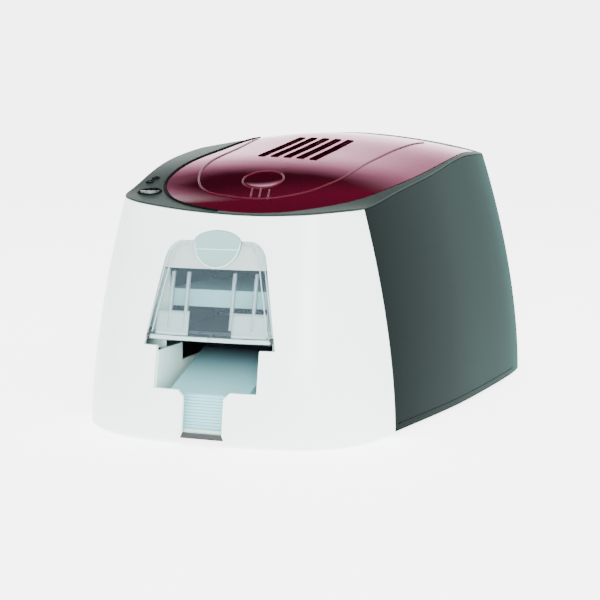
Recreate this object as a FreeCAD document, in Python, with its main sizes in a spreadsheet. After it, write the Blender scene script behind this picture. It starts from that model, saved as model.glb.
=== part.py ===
import FreeCAD, Part
import math
import os
import re

os.makedirs("parts", exist_ok=True)
doc = FreeCAD.newDocument("card_printer")
V = FreeCAD.Vector
X_AXIS = V(1, 0, 0)

# Driving dimensions, millimetres and degrees
sizes = [
    ("wall", 2.5), ("fit_gap", 0.4), ("overrun", 1.0),
    ("body_length", 349.0), ("half_width", 137.0), ("panel_base", 3.0),
    ("side_lean", 30.0), ("front_lean", 31.0), ("rear_lean", 12.0),
    ("lean_height", 177.0), ("front_lean_height", 143.0),
    ("split_depth", 70.0), ("rim_lip", 0.9),
    ("loft_top", 215.0),
    ("foot_radius", 7.0), ("foot_height", 4.0), ("foot_inset_x", 80.0),
    ("foot_front_y", 45.0), ("foot_rear_y", 305.0),
    ("tray_floor", 3.0), ("tray_height", 14.0),
    ("cover_thickness", 2.6), ("cover_gap", 0.8), ("hinge_room", 9.5),
    ("slot_width", 3.4), ("slot_pitch", 9.8), ("slot_x", -0.5),
    ("slot_front", 157.0), ("slot_rear", 242.0),
    ("dimple_x", 3.0), ("dimple_y", 101.0), ("dimple_depth", 1.2), ("dimple_sphere", 75.0),
    ("hinge_y", 305.5), ("hinge_z", 182.0), ("hinge_radius", 1.6), ("hinge_half_span", 46.0),
    ("door_base_half", 44.5), ("door_base_z", 61.0),
    ("door_thickness", 2.2), ("door_pin_y", 19.0), ("door_foot_z", 64.5), ("door_pin_z", 66.5),
    ("door_pin_radius", 1.5), ("barrel_radius", 3.5), ("barrel_inset", 2.0),
    ("tab_x", 1.0), ("tab_half", 16.0), ("tab_z", 125.8),
    ("tab_rise", 7.5), ("tab_drop", 16.0), ("tab_thickness", 2.0),
    ("recess_half", 38.0), ("recess_base_z", 109.2), ("recess_top_z", 136.5), ("recess_wall", 2.0),
    ("opening_half", 35.0), ("opening_top_z", 61.0), ("lip_z", 34.3),
    ("notch_half", 13.8), ("notch_splay", 4.0), ("notch_splay_z", 8.0),
    ("card_length", 85.6), ("card_width", 54.0), ("card_thickness", 0.76), ("card_count", 25),
    ("card_slope", 20.0), ("card_front_y", 8.0), ("card_front_z", 9.5),
    ("bay_half", 34.4), ("bay_depth", 92.0), ("bay_wall", 2.0), ("bay_front", 14.0),
    ("bay_wall_rear", 49.0), ("bay_top", 57.0),
    ("hopper_floor_z", 66.0), ("hopper_top_z", 114.0), ("hopper_front", 31.0), ("hopper_rear", 104.0),
    ("feed_plate_z", 84.0), ("feed_plate_thickness", 11.0),
    ("frame_x", 52.0), ("frame_thickness", 1.5), ("frame_front", 62.0), ("frame_rear", 300.0),
    ("frame_base_z", 7.0), ("frame_top_z", 122.0),
    ("shaft_radius", 3.0), ("roller_radius", 7.0), ("roller_length", 58.0), ("card_path_z", 92.0),
    ("pickup_y", 118.0), ("infeed_y", 150.0), ("platen_y", 190.0), ("outfeed_y", 230.0),
    ("pinch_radius", 5.0), ("bush_radius", 5.5), ("bush_length", 5.0), ("bush_gap", 0.05),
    ("gear_module", 1.0), ("gear_width", 6.0), ("gear_x", 57.0), ("gear_backlash", 0.25),
    ("motor_radius", 14.0), ("motor_length", 32.0), ("pinion_length", 36.0), ("pinion_bore", 1.5),
    ("spool_radius", 8.0), ("spool_length", 60.0), ("supply_y", 238.0), ("takeup_y", 138.0),
    ("spool_z", 134.0), ("supply_wound", 13.0), ("takeup_wound", 10.0),
    ("head_gap", 1.0), ("head_depth", 14.0), ("head_length", 60.0),
    ("element_height", 2.0), ("sink_height", 12.0),
    ("board_thickness", 1.6), ("board_length", 110.0), ("board_height", 70.0), ("board_x", -62.1),
    ("usb_width", 12.0), ("usb_height", 10.9), ("usb_depth", 16.0), ("usb_x", -50.0), ("socket_z", 30.0),
    ("jack_width", 11.0), ("jack_height", 11.0), ("jack_depth", 14.0), ("jack_x", -25.0),
    ("lock_width", 7.0), ("lock_height", 3.0), ("lock_x", 60.0),
    ("button_x", -66.0), ("button_y", 68.0), ("button_radius", 6.6), ("button_travel", 1.0),
    ("lens_radius", 1.6), ("rear_half", 85.0), ("rear_start", 314.0),
]
sheet = doc.addObject("Spreadsheet::Sheet", "Size")
for row, (name, value) in enumerate(sizes, start=1):
    sheet.set("A%d" % row, name)
    sheet.set("B%d" % row, str(value))
    sheet.setAlias("B%d" % row, name)
doc.recompute()
s = {name: float(sheet.get(name)) for name, value in sizes}
names = sorted(s, key=len, reverse=True)
pattern = re.compile(r"\b(" + "|".join(names) + r")\b")
made = {}


def bound(text):
    return pattern.sub(lambda found: "Size." + found.group(1), str(text))


def place(item, base, turn=None):
    if turn is not None:
        item.Placement = FreeCAD.Placement(V(0, 0, 0), FreeCAD.Rotation(turn[0], turn[1]))
    for axis, text in zip("xyz", base):
        item.setExpression("Placement.Base." + axis, bound(text))
    return item


def keep(item, label):
    made.setdefault(label, []).append(item)
    return item


def box(tag, size, base, turn=None):
    item = doc.addObject("Part::Box", tag)
    for side, text in zip(("Length", "Width", "Height"), size):
        item.setExpression(side, "(" + bound(text) + ") * 1 mm")
    return place(item, base, turn)


TURNS = {"x": (V(0, 1, 0), 90), "y": (V(1, 0, 0), -90), "z": None}


def rod(tag, radius, length, base, axis="x"):
    item = doc.addObject("Part::Cylinder", tag)
    item.setExpression("Radius", "(" + bound(radius) + ") * 1 mm")
    item.setExpression("Height", "(" + bound(length) + ") * 1 mm")
    return place(item, base, TURNS[axis])


def fuse(tag, items):
    if len(items) == 1:
        return items[0]
    item = doc.addObject("Part::MultiFuse", tag)
    item.Shapes = items
    return item


def cut(tag, base, tools):
    item = doc.addObject("Part::Cut", tag)
    item.Base = base
    item.Tool = fuse(tag + "_tools", tools)
    return item


def made_of(tag, shape):
    item = doc.addObject("Part::Feature", tag)
    item.Shape = shape
    item.Placement = shape.Placement
    return item


# Envelope: plan at the table, leaning in as it rises
plan_shares = [
    (0.0, 0.0), (0.219, 0.003), (0.38, 0.013), (0.496, 0.027), (0.591, 0.052), (0.672, 0.086),
    (0.73, 0.129), (0.77, 0.189), (0.825, 0.298), (0.905, 0.476), (0.964, 0.688), (0.996, 0.86),
    (0.993, 0.93), (0.965, 0.97), (0.9, 0.992), (0.8, 1.0), (0.5, 1.0), (0.0, 1.0),
]
half_plan = [V(a * s["half_width"], b * s["body_length"], 0) for a, b in plan_shares]
whole_plan = half_plan + [V(-p.x, p.y, 0) for p in reversed(half_plan[1:-1])]
plan_curve = Part.BSplineCurve()
plan_curve.interpolate(Points=whole_plan, PeriodicFlag=True)
plan_steps = 64
plan_samples = []
for step in range(plan_steps):
    at = plan_curve.FirstParameter + (plan_curve.LastParameter - plan_curve.FirstParameter) * step / plan_steps
    point = plan_curve.value(at)
    along = plan_curve.tangent(at)[0]
    plan_samples.append((point, V(along.y, -along.x, 0).normalize()))


def lean(total, height, power, z):
    return total * (max(z, 0) / height) ** power


side_power = 1.8
front_power = 1.3
rear_power = 1.5


def eased(at, start, end):
    share = min(max((at - start) / (end - start), 0), 1)
    return share * share * (3 - 2 * share)


side_ease = s["half_width"] * 0.55
rear_ease = (s["body_length"] * 0.55, s["body_length"] * 0.9)
front_lean_end = s["front_lean_height"] * 1.12


def section(z, inset):
    points = []
    side_in = lean(s["side_lean"], s["lean_height"], side_power, z)
    front_in = lean(s["front_lean"], s["front_lean_height"], front_power, min(z, front_lean_end))
    rear_in = lean(s["rear_lean"], s["lean_height"], rear_power, z)
    for point, out in plan_samples:
        rearward = eased(point.y, *rear_ease)
        side_share = abs(out.x) * (1 - rearward) + min(abs(point.x) / side_ease, 1) * rearward
        side_shift = math.copysign(side_in * side_share, point.x)
        depth_shift = front_in * max(-out.y, 0) * (1 - rearward) - rear_in * rearward
        points.append(V(point.x - side_shift - out.x * inset, point.y + depth_shift - out.y * inset, z))
    curve = Part.BSplineCurve()
    curve.interpolate(Points=points, PeriodicFlag=True)
    return Part.Wire(curve.toShape())


section_shares = (0.0, 0.16, 0.32, 0.48, 0.64, 0.82, 1.0)


def envelope(inset):
    wires = [section(share * s["loft_top"], inset) for share in section_shares]
    return Part.makeLoft(wires, True, False)


far = 4 * s["body_length"]


def block(x0, x1, y0, y1, z0, z1):
    return Part.makeBox(x1 - x0, y1 - y0, z1 - z0, V(x0, y0, z0))


# Crowned top: ridge heights, cross tilt and the drop on each side, from the front to the rear
crown_rows = [
    (0.0, 142.0, -7.0, -7.0), (20.0, 143.5, -7.0, -6.0), (40.0, 145.9, -7.4, -3.8), (70.0, 152.2, 0.6, 1.7),
    (110.0, 165.9, 9.0, 7.3), (150.0, 175.4, 10.7, 8.9), (190.0, 180.9, 8.9, 9.1), (230.0, 186.5, 7.4, 10.7),
    (270.0, 191.3, 7.6, 14.2), (310.0, 192.6, 8.9, 18.8), (352.0, 192.4, 10.2, 22.9),
]
crown_tilt = 0.0547
crown_half = 100.0


def between(table, at, column):
    for low, high in zip(table, table[1:]):
        if at <= high[0]:
            return low[column] + (high[column] - low[column]) * (at - low[0]) / (high[0] - low[0])
    return table[-1][column]


def crown_height(x, y):
    drop = between(crown_rows, y, 2 if x > 0 else 3)
    return between(crown_rows, y, 1) - crown_tilt * x - drop * (x / crown_half) ** 2


crown_columns = 11
crown_reach = 1.4
crown_lines = [-s["wall"]] + [row[0] for row in crown_rows[1:]]
crown_grid = []
for column in range(crown_columns):
    x = crown_half * crown_reach * (2 * column / (crown_columns - 1) - 1)
    crown_grid.append([V(x, y, crown_height(x, max(y, 0))) for y in crown_lines])
crown_surface = Part.BSplineSurface()
crown_surface.interpolate(crown_grid)
crown = crown_surface.toShape()


def under_crown(drop, depth):
    sheet_face = crown.copy()
    sheet_face.translate(V(0, 0, -drop))
    return sheet_face.extrude(V(0, 0, -depth))


outer = envelope(0)
inner = envelope(s["wall"])
base_cut = block(-far, far, -far, far, -far, s["panel_base"])
shell = outer.cut(inner).common(under_crown(s["rim_lip"] + s["fit_gap"], far)).cut(base_cut)
half_fit = s["fit_gap"] / 2
half_split = s["rear_half"]


# Outlines on the front, drawn in the X-Z plane and cut straight back
def outline_prism(points, y0, y1):
    corners = [V(x, y0, z) for x, z in points]
    return Part.Face(Part.makePolygon(corners + corners[:1])).extrude(V(0, y1 - y0, 0))


door_corner = [(34.4, 115.5), (33.2, 119.2), (31.2, 122.4), (28.4, 125.0), (24.5, 126.8)]


def door_outline(grow):
    half = [(s["door_base_half"] + grow, s["door_base_z"] - grow)]
    for index, (x, z) in enumerate(door_corner):
        half.append((x + grow, z + grow * index / (len(door_corner) - 1)))
    return half + [(-x, z) for x, z in reversed(half)]


tab_steps = 36


def tab_outline(grow):
    points = []
    for step in range(tab_steps):
        angle = math.tau * step / tab_steps
        height = s["tab_rise"] if math.sin(angle) > 0 else s["tab_drop"]
        points.append((s["tab_x"] + (s["tab_half"] + grow) * math.cos(angle),
                       s["tab_z"] + (height + grow) * math.sin(angle)))
    return points


splay = s["notch_splay"]
cavity = [
    (s["opening_half"], s["opening_top_z"] + 2 * s["wall"]), (s["opening_half"], s["lip_z"]),
    (s["notch_half"] + splay, s["lip_z"]), (s["notch_half"], s["lip_z"] - splay),
    (s["notch_half"], s["notch_splay_z"]), (s["notch_half"] + splay, -s["overrun"]),
]
cavity = cavity + [(-x, z) for x, z in reversed(cavity)]
mouth = outline_prism(cavity, -s["split_depth"], s["split_depth"])
window = outline_prism(door_outline(s["fit_gap"]), -s["split_depth"], s["split_depth"])
tab_hole = outline_prism(tab_outline(s["fit_gap"]), -s["split_depth"], s["split_depth"])
front_shape = shell.common(block(-far, far, -far, s["split_depth"] - half_fit, -far, far))
front_shape = front_shape.cut(mouth).cut(window).cut(tab_hole)
recess_zone = block(-s["recess_half"], s["recess_half"], 0, s["split_depth"], s["recess_base_z"], s["recess_top_z"])
recess_at = s["door_thickness"] + s["fit_gap"]
recess_front = envelope(recess_at).common(recess_zone)
recess_back = envelope(recess_at + s["recess_wall"])
recess_plate = recess_front.cut(recess_back)
recess_collar = envelope(s["wall"] / 2).common(recess_zone).cut(recess_back).cut(window).cut(tab_hole)
front_shape = front_shape.fuse([recess_plate, recess_collar])
keep(made_of("front_panel", front_shape), "front_panel")

rear_start = s["rear_start"]
rear_zone = block(-half_split, half_split, rear_start, far, -far, far)
side_shell = shell.common(block(-far, far, s["split_depth"] + half_fit, far, -far, far))
rear_gap = block(-half_split - s["fit_gap"], half_split + s["fit_gap"], rear_start - s["wall"], far, -far, far)
side_shell = side_shell.cut(rear_gap)
keep(made_of("right_side_panel", side_shell.common(block(0, far, -far, far, -far, far))), "right_side_panel")
keep(made_of("left_side_panel", side_shell.common(block(-far, 0, -far, far, -far, far))), "left_side_panel")
sockets = [
    block(s["usb_x"] - s["usb_width"] / 2 - s["fit_gap"], s["usb_x"] + s["usb_width"] / 2 + s["fit_gap"],
          rear_start, far, s["socket_z"] - s["fit_gap"], s["socket_z"] + s["usb_height"] + s["fit_gap"]),
    block(s["jack_x"] - s["jack_width"] / 2 - s["fit_gap"], s["jack_x"] + s["jack_width"] / 2 + s["fit_gap"],
          rear_start, far, s["socket_z"] - s["fit_gap"], s["socket_z"] + s["jack_height"] + s["fit_gap"]),
    block(s["lock_x"] - s["lock_width"] / 2, s["lock_x"] + s["lock_width"] / 2,
          rear_start, far, s["socket_z"], s["socket_z"] + s["lock_height"]),
]
rear_shape = shell.common(rear_zone)
for socket in sockets:
    rear_shape = rear_shape.cut(socket)
keep(made_of("rear_panel", rear_shape), "rear_panel")

# Base tray: a floor under the whole body with a low wall inside the panels
tray_gap = s["fit_gap"]
tray_outer = envelope(s["wall"] + tray_gap)
tray_inner = envelope(2 * s["wall"] + tray_gap)
tray_block = tray_outer.common(block(-far, far, -far, far, s["foot_height"], s["tray_height"]))
tray_room = tray_inner.common(block(-far, far, -far, far, s["foot_height"] + s["tray_floor"], far))
tray_notch = block(-s["bay_half"] - s["bay_wall"] - tray_gap, s["bay_half"] + s["bay_wall"] + tray_gap,
                   -far, s["bay_front"] + s["bay_depth"], s["foot_height"] + s["tray_floor"], far)
tray_shape = tray_block.cut(tray_room).cut(tray_notch)
keep(made_of("base_tray", tray_shape), "base_tray")

# Outline of the cover's opening, from the rear left round the front to the rear right
opening_outline = [
    (-66.0, 284.0), (-66.5, 250.0), (-66.2, 209.0), (-65.7, 185.0), (-66.2, 160.0), (-67.2, 136.0), (-67.4, 120.0),
    (-66.6, 103.0), (-64.0, 90.0), (-59.5, 79.0), (-53.0, 68.5), (-44.5, 58.0), (-35.0, 49.8), (-25.0, 43.6),
    (-14.0, 39.2), (-2.0, 36.2), (10.0, 34.8), (22.0, 35.2), (34.0, 38.4), (45.0, 44.6), (54.0, 54.0), (61.5, 65.0),
    (67.0, 74.0), (72.5, 84.0), (78.5, 97.0), (83.0, 110.0), (87.0, 126.0), (91.0, 148.0), (94.5, 175.0), (97.2, 200.0),
    (99.8, 228.0), (101.3, 256.0), (101.6, 284.0),
]
cover_rear = 308.0


def opening_prism(grow, rear_grow):
    points = []
    for index, (x, y) in enumerate(opening_outline):
        x0, y0 = opening_outline[max(index - 1, 0)]
        x1, y1 = opening_outline[min(index + 1, len(opening_outline) - 1)]
        along = V(x1 - x0, y1 - y0, 0).normalize()
        points.append(V(x + along.y * grow, y - along.x * grow, 0))
    curve = Part.BSplineCurve()
    curve.interpolate(points)
    right = V(points[-1].x, cover_rear + rear_grow, 0)
    left = V(points[0].x, cover_rear + rear_grow, 0)
    edges = [curve.toShape(), Part.makeLine(points[-1], right), Part.makeLine(right, left),
             Part.makeLine(left, points[0])]
    return Part.Face(Part.Wire(edges)).extrude(V(0, 0, far))


# Rim: a crowned plate with a lip on the panels, open where the cover lies
rim_shape = outer.common(under_crown(0, s["wall"]))
rim_rebate = under_crown(s["rim_lip"], far).cut(envelope(s["wall"] + s["fit_gap"]))
rim_shape = rim_shape.cut(rim_rebate).cut(opening_prism(0, s["hinge_room"]))
ledge_step = 0.6
ledge_zone = block(-far, far, -far, s["hinge_y"] - s["wall"], 0, far)
ledge_outer = opening_prism(s["wall"], s["hinge_room"]).common(envelope(s["wall"] + 2 * s["fit_gap"]))
ledge_outer = ledge_outer.common(ledge_zone)
ledge = ledge_outer.cut(opening_prism(-2 * s["wall"], far)).common(
    under_crown(s["cover_thickness"] + s["fit_gap"], s["wall"]))
ledge_web = ledge_outer.cut(opening_prism(ledge_step, far)).common(under_crown(s["wall"] / 2, s["wall"]))
rim_shape = rim_shape.fuse([ledge, ledge_web])
button_hole = Part.makeCylinder(s["button_radius"] + s["fit_gap"], far, V(s["button_x"], s["button_y"], 0))
lens_spots = [(-76.5, 90.0), (-76.0, 98.0)]
lens_holes = [Part.makeCylinder(s["lens_radius"] + half_fit / 2, far, V(x, y, 0)) for x, y in lens_spots]
for hole in [button_hole] + lens_holes:
    rim_shape = rim_shape.cut(hole)
button_top = crown_height(s["button_x"], s["button_y"])
button_length = 6.0
button_proud = 0.8
post_radius = 1.6
switch_z = button_top + button_proud - button_length - s["button_travel"] - s["fit_gap"]
post_shift = 4.5
for reach in (14.0, 21.0):
    post_spot = V(s["button_x"] - post_shift, s["button_y"] + reach, switch_z)
    post = Part.makeCylinder(post_radius, far, post_spot)
    rim_shape = rim_shape.fuse(post.common(under_crown(s["wall"] / 2, far)))
keep(made_of("top_rim", rim_shape), "top_rim")

# Cover: a crowned sheet with five slots, a dimple and two hinge arms
slot_count = 5
cover_shape = under_crown(0, s["cover_thickness"]).common(opening_prism(-s["cover_gap"], 0))
for index in range(slot_count):
    x = s["slot_x"] + (index - (slot_count - 1) / 2) * s["slot_pitch"]
    slot = block(x - s["slot_width"] / 2, x + s["slot_width"] / 2, s["slot_front"], s["slot_rear"], 0, far)
    cover_shape = cover_shape.cut(slot)

# Hinge of the cover: knuckles on the cover, a pin, two brackets under the rim
hinge_y = s["hinge_y"]
hinge_z = s["hinge_z"]
knuckle_radius = 3.2
knuckle_starts = [27.0, -39.0]
knuckle_length = 12.0
knuckle_web = 4.0
pin_gap = 0.08
for start in knuckle_starts:
    knuckle = Part.makeCylinder(knuckle_radius, knuckle_length, V(start, hinge_y, hinge_z), X_AXIS)
    web = block(start, start + knuckle_length, hinge_y - knuckle_radius, cover_rear, hinge_z, far)
    web = web.common(under_crown(half_fit, s["cover_thickness"] + 2 * knuckle_web))
    cover_shape = cover_shape.fuse(knuckle).fuse(web)
pin_bore = Part.makeCylinder(s["hinge_radius"] + pin_gap, far, V(-far / 2, hinge_y, hinge_z), X_AXIS)
cover_shape = cover_shape.cut(pin_bore)
dimple_x = s["dimple_x"]
dimple_y = s["dimple_y"]
reach = math.sqrt(2 * s["dimple_sphere"] * s["dimple_depth"])
right, left, rear, front = [crown_height(dimple_x + dx, dimple_y + dy)
                            for dx, dy in ((reach, 0), (-reach, 0), (0, reach), (0, -reach))]
dimple_up = V(left - right, front - rear, 2 * reach).normalize()
dimple_middle = V(dimple_x, dimple_y, (right + left + rear + front) / 4)
dimple_middle = dimple_middle + dimple_up * (s["dimple_sphere"] - s["dimple_depth"])
dimple = Part.makeSphere(s["dimple_sphere"], dimple_middle)
cover_shape = cover_shape.cut(dimple)
cover_shape = cover_shape.removeSplitter()
keep(made_of("top_cover", cover_shape), "top_cover")
keep(rod("cover_hinge_pin", "hinge_radius", "hinge_half_span * 2",
         ("-hinge_half_span", "hinge_y", "hinge_z")), "cover_hinge_pin")
bracket_width = 4.0
bracket_drop = 12.0
bracket_eye = 3.2
bracket_heel = 14.0
bracket_reach = 20.0
arm_top = hinge_z - bracket_eye * 0.7
bracket_shapes = []
for side in (1, -1):
    x0 = side * (s["hinge_half_span"] - bracket_width / 2) - bracket_width / 2
    x1 = x0 + bracket_width
    eye = Part.makeCylinder(bracket_eye, bracket_width, V(x0, hinge_y, hinge_z), X_AXIS)
    arm_base = hinge_z - bracket_drop
    arm = block(x0, x1, hinge_y - bracket_eye, hinge_y + bracket_reach, arm_base, arm_top)
    heel = block(x0, x1, hinge_y + bracket_heel, hinge_y + bracket_reach, arm_base, far)
    bracket = eye.fuse([arm, heel.common(under_crown(s["wall"], far))])
    bracket_pin = Part.makeCylinder(s["hinge_radius"], far, V(-far / 2, hinge_y, hinge_z), X_AXIS)
    bracket_shapes.append(bracket.cut(bracket_pin).removeSplitter())
keep(made_of("hinge_brackets", Part.makeCompound(bracket_shapes)), "hinge_brackets")

# Feeder door: follows the front, with a barrel along its foot
door_skin = outer.cut(envelope(s["door_thickness"]))
door_keep = outline_prism(door_outline(0), -s["split_depth"], s["split_depth"])
door_shape = door_skin.common(door_keep).common(block(-far, far, -far, far, s["door_foot_z"], far))
door_y = s["door_pin_y"]
door_z = s["door_pin_z"]
barrel_half = s["door_base_half"] - s["barrel_inset"]
barrel = Part.makeCylinder(s["barrel_radius"], 2 * barrel_half, V(-barrel_half, door_y, door_z), X_AXIS)
web = block(-barrel_half, barrel_half, door_y - 3 * s["barrel_radius"], door_y, door_z, door_z + s["wall"])
web = web.common(envelope(half_fit)).common(door_keep)
tab_rod = outline_prism(tab_outline(0), -s["split_depth"], s["split_depth"])
tab_seat = outline_prism(tab_outline(half_fit), -s["split_depth"], s["split_depth"])
door_bore = Part.makeCylinder(s["door_pin_radius"] + pin_gap, far, V(-far / 2, door_y, door_z), X_AXIS)
door_shape = door_shape.fuse(barrel).fuse(web).cut(tab_seat).cut(door_bore)
keep(made_of("feeder_door", door_shape), "feeder_door")
tab_zone = block(-far, far, -far, s["split_depth"], 0, far)
tab_shape = outer.cut(envelope(s["tab_thickness"])).common(tab_rod).common(tab_zone)
keep(made_of("door_thumb_tab", tab_shape), "door_thumb_tab")
door_bracket_shapes = []
door_pins = []
door_pin_length = 7.5
door_bracket_width = 2.5
for side in (1, -1):
    inner_x = s["door_base_half"] + s["fit_gap"]
    x0 = inner_x if side > 0 else -inner_x - door_bracket_width
    piece = block(x0, x0 + door_bracket_width, 0, door_y + 2 * s["barrel_radius"],
                  door_z - s["barrel_radius"], door_z + s["barrel_radius"]).common(envelope(s["wall"]))
    hole = Part.makeCylinder(s["door_pin_radius"], far, V(-far / 2, door_y, door_z), X_AXIS)
    door_bracket_shapes.append(piece.cut(hole))
    pin_x = x0 + door_bracket_width - door_pin_length if side > 0 else x0
    door_pins.append(Part.makeCylinder(s["door_pin_radius"], door_pin_length, V(pin_x, door_y, door_z), X_AXIS))
keep(made_of("door_brackets", Part.makeCompound(door_bracket_shapes)), "door_brackets")
keep(made_of("door_pins", Part.makeCompound(door_pins)), "door_pins")

# Output bay: a sloping channel with the printed cards in it
slope = math.radians(s["card_slope"])
bay_z = s["card_front_z"]
bay_y = s["bay_front"] * 0.5
rise = math.tan(slope)
bay_end = bay_y + s["bay_depth"]
bay_floor_z = s["foot_height"] + s["tray_floor"]
bay_top = s["bay_top"]
profile = [V(0, bay_y, bay_floor_z), V(0, bay_end, bay_floor_z), V(0, bay_end, bay_top), V(0, bay_y, bay_top)]
bay_half = s["bay_half"]
bay_wall = s["bay_wall"]
bay_block = Part.Face(Part.makePolygon(profile + profile[:1])).extrude(V(2 * (bay_half + bay_wall), 0, 0))
bay_block.translate(V(-bay_half - bay_wall, 0, 0))
lean_room = envelope(s["wall"] + s["fit_gap"] / 2)
room_z = bay_z - half_fit - rise * s["card_front_y"]
room_end = bay_end - bay_wall
room = [V(0, 0, room_z), V(0, room_end, room_z + rise * room_end), V(0, room_end, far), V(0, 0, far)]
room_block = Part.Face(Part.makePolygon(room + room[:1])).extrude(V(2 * bay_half, 0, 0))
room_block.translate(V(-bay_half, 0, 0))
under = [V(0, bay_y + 2 * bay_wall, 0), V(0, room_end, 0),
         V(0, room_end, bay_z + rise * (room_end - s["card_front_y"]) - bay_wall),
         V(0, s["card_front_y"] + 6 * bay_wall, bay_z + rise * 6 * bay_wall - bay_wall)]
under_block = Part.Face(Part.makePolygon(under + under[:1])).extrude(V(2 * bay_half, 0, 0))
under_block.translate(V(-bay_half, 0, 0))
wall_cut = block(-far, far, s["bay_wall_rear"], room_end, bay_z + 2 * s["bay_wall_rear"] * rise, far)
bay_shape = bay_block.common(lean_room).cut(room_block).cut(under_block).cut(wall_cut)
keep(made_of("output_bay", bay_shape), "output_bay")
cards = []
card_gap = 0.06
card_lift = 0.1
card_step = (s["card_thickness"] + card_gap) / math.cos(slope)
card_shift = 0.17
for index in range(int(s["card_count"])):
    card = Part.makeBox(s["card_width"], s["card_length"], s["card_thickness"])
    card.rotate(V(0, 0, 0), X_AXIS, s["card_slope"])
    z = bay_z + card_lift + index * card_step
    card.translate(V(-s["card_width"] / 2, s["card_front_y"] + card_shift * (z - bay_z), z))
    cards.append(card)
keep(made_of("card_stack", Part.makeCompound(cards)), "card_stack")

# Card hopper behind the door, with its loose pressure plate
hopper_wall = s["bay_wall"]
hopper_half = bay_half + hopper_wall
hopper_roof = s["hopper_top_z"]
hopper_base = s["hopper_floor_z"]
hopper_floor = hopper_base + hopper_wall
hopper_back = s["hopper_rear"] - hopper_wall
hopper_shape = block(-hopper_half, hopper_half, s["hopper_front"], s["hopper_rear"], hopper_base, hopper_roof)
hopper_shape = hopper_shape.cut(block(-bay_half, bay_half, 0, hopper_back, hopper_floor, far))
feed_gap = 3.0
feed_half = bay_half - feed_gap
hopper_shape = hopper_shape.cut(block(-feed_half, feed_half, 0, far, hopper_floor, hopper_floor + hopper_wall))
flange = 3.0
flange_front = s["frame_front"] + flange
hopper_shape = hopper_shape.fuse(block(-s["frame_x"], s["frame_x"], flange_front, hopper_back,
                                       hopper_roof - flange, hopper_roof))
keep(made_of("card_hopper", hopper_shape), "card_hopper")
plate_size = ("2 * bay_half - 2 * fit_gap", "hopper_rear - hopper_front - 3 * bay_wall", "feed_plate_thickness")
plate_base = ("-bay_half + fit_gap", "hopper_front + bay_wall / 2", "feed_plate_z")
keep(box("pressure_plate", plate_size, plate_base), "pressure_plate")

# Two frame plates, three cross bars, rollers on shafts in bushes
shaft_z = s["card_path_z"] - s["roller_radius"] - s["fit_gap"]
pinch_z = s["card_path_z"] + s["pinch_radius"] + s["fit_gap"]
roller_rows = [(name, s[name + "_y"]) for name in ("pickup", "infeed", "platen", "outfeed")]
pinch_rows = [("infeed", s["infeed_y"]), ("outfeed", s["outfeed_y"])]
bar_spots = [(110.0, 20.0), (290.0, 20.0), (290.0, 112.0)]
big_teeth = 20
small_teeth = 12
gear_radius = big_teeth * s["gear_module"] / 2
small_radius = small_teeth * s["gear_module"] / 2
idler_spots = [((s["pickup_y"] + s["infeed_y"]) / 2, small_radius),
               ((s["infeed_y"] + s["platen_y"]) / 2, gear_radius),
               ((s["platen_y"] + s["outfeed_y"]) / 2, gear_radius)]
stud_radius = 2.0
side_size = ("frame_thickness", "frame_rear - frame_front", "frame_top_z - frame_base_z")
spool_rows = [(name, s[name + "_y"]) for name in ("supply", "takeup")]
for side, label in ((-1, "left_frame_plate"), (1, "right_frame_plate")):
    start = "frame_x" if side > 0 else "-frame_x - frame_thickness"
    plate = box(label + "_blank", side_size, (start, "frame_front", "frame_base_z"))
    holes = []
    for name, y in roller_rows:
        holes.append(rod(label + "_" + name, "bush_radius", "frame_thickness * 4",
                         (start + " - frame_thickness", y, shaft_z)))
    for name, y in pinch_rows:
        holes.append(rod(label + "_pinch_" + name, "shaft_radius + fit_gap / 8", "frame_thickness * 4",
                         (start + " - frame_thickness", y, pinch_z)))
    if side > 0:
        for index, (y, radius) in enumerate(idler_spots):
            holes.append(rod("stud_hole_%d" % index, stud_radius, "frame_thickness * 4",
                             (start + " - frame_thickness", y, shaft_z)))
    keep(cut(label, plate, holes), label)
for index, (y, z) in enumerate(bar_spots):
    keep(rod("cross_bar_%d" % index, "shaft_radius", "frame_x * 2", ("-frame_x", y, z)), "cross_bars")
shaft_reach = 1.0
for name, y in roller_rows:
    shaft_half = "(frame_x + frame_thickness + bush_length + %s)" % shaft_reach
    keep(rod(name + "_shaft", "shaft_radius", shaft_half + " + gear_x + gear_width",
             ("-" + shaft_half, y, shaft_z)), name + "_shaft")
    blank = rod(name + "_roller_blank", "roller_radius", "roller_length", ("-roller_length / 2", y, shaft_z))
    bore = rod(name + "_roller_bore", "shaft_radius", "roller_length * 2", ("-roller_length", y, shaft_z))
    keep(cut(name + "_roller", blank, [bore]), name + "_roller")
    for side in (-1, 1):
        middle = "frame_x + frame_thickness / 2"
        start = ("" if side > 0 else "-") + "(" + middle + ") - bush_length / 2"
        blank = rod("%s_bush_blank_%d" % (name, side), "bush_radius", "bush_length", (start, y, shaft_z))
        bore = rod("%s_bush_bore_%d" % (name, side), "shaft_radius + bush_gap", "bush_length * 3",
                   (start + " - bush_length", y, shaft_z))
        keep(cut("%s_bush_%d" % (name, side), blank, [bore]), "shaft_bushes")
pinch_reach = 1.5
for name, y in pinch_rows:
    journal = rod(name + "_pinch_journal", "shaft_radius", "(frame_x + frame_thickness + %s) * 2" % pinch_reach,
                  ("-(frame_x + frame_thickness + %s)" % pinch_reach, y, pinch_z))
    barrel_rod = rod(name + "_pinch_barrel", "pinch_radius", "roller_length", ("-roller_length / 2", y, pinch_z))
    keep(fuse(name + "_pinch_roller", [journal, barrel_rod]), name + "_pinch_roller")


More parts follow.
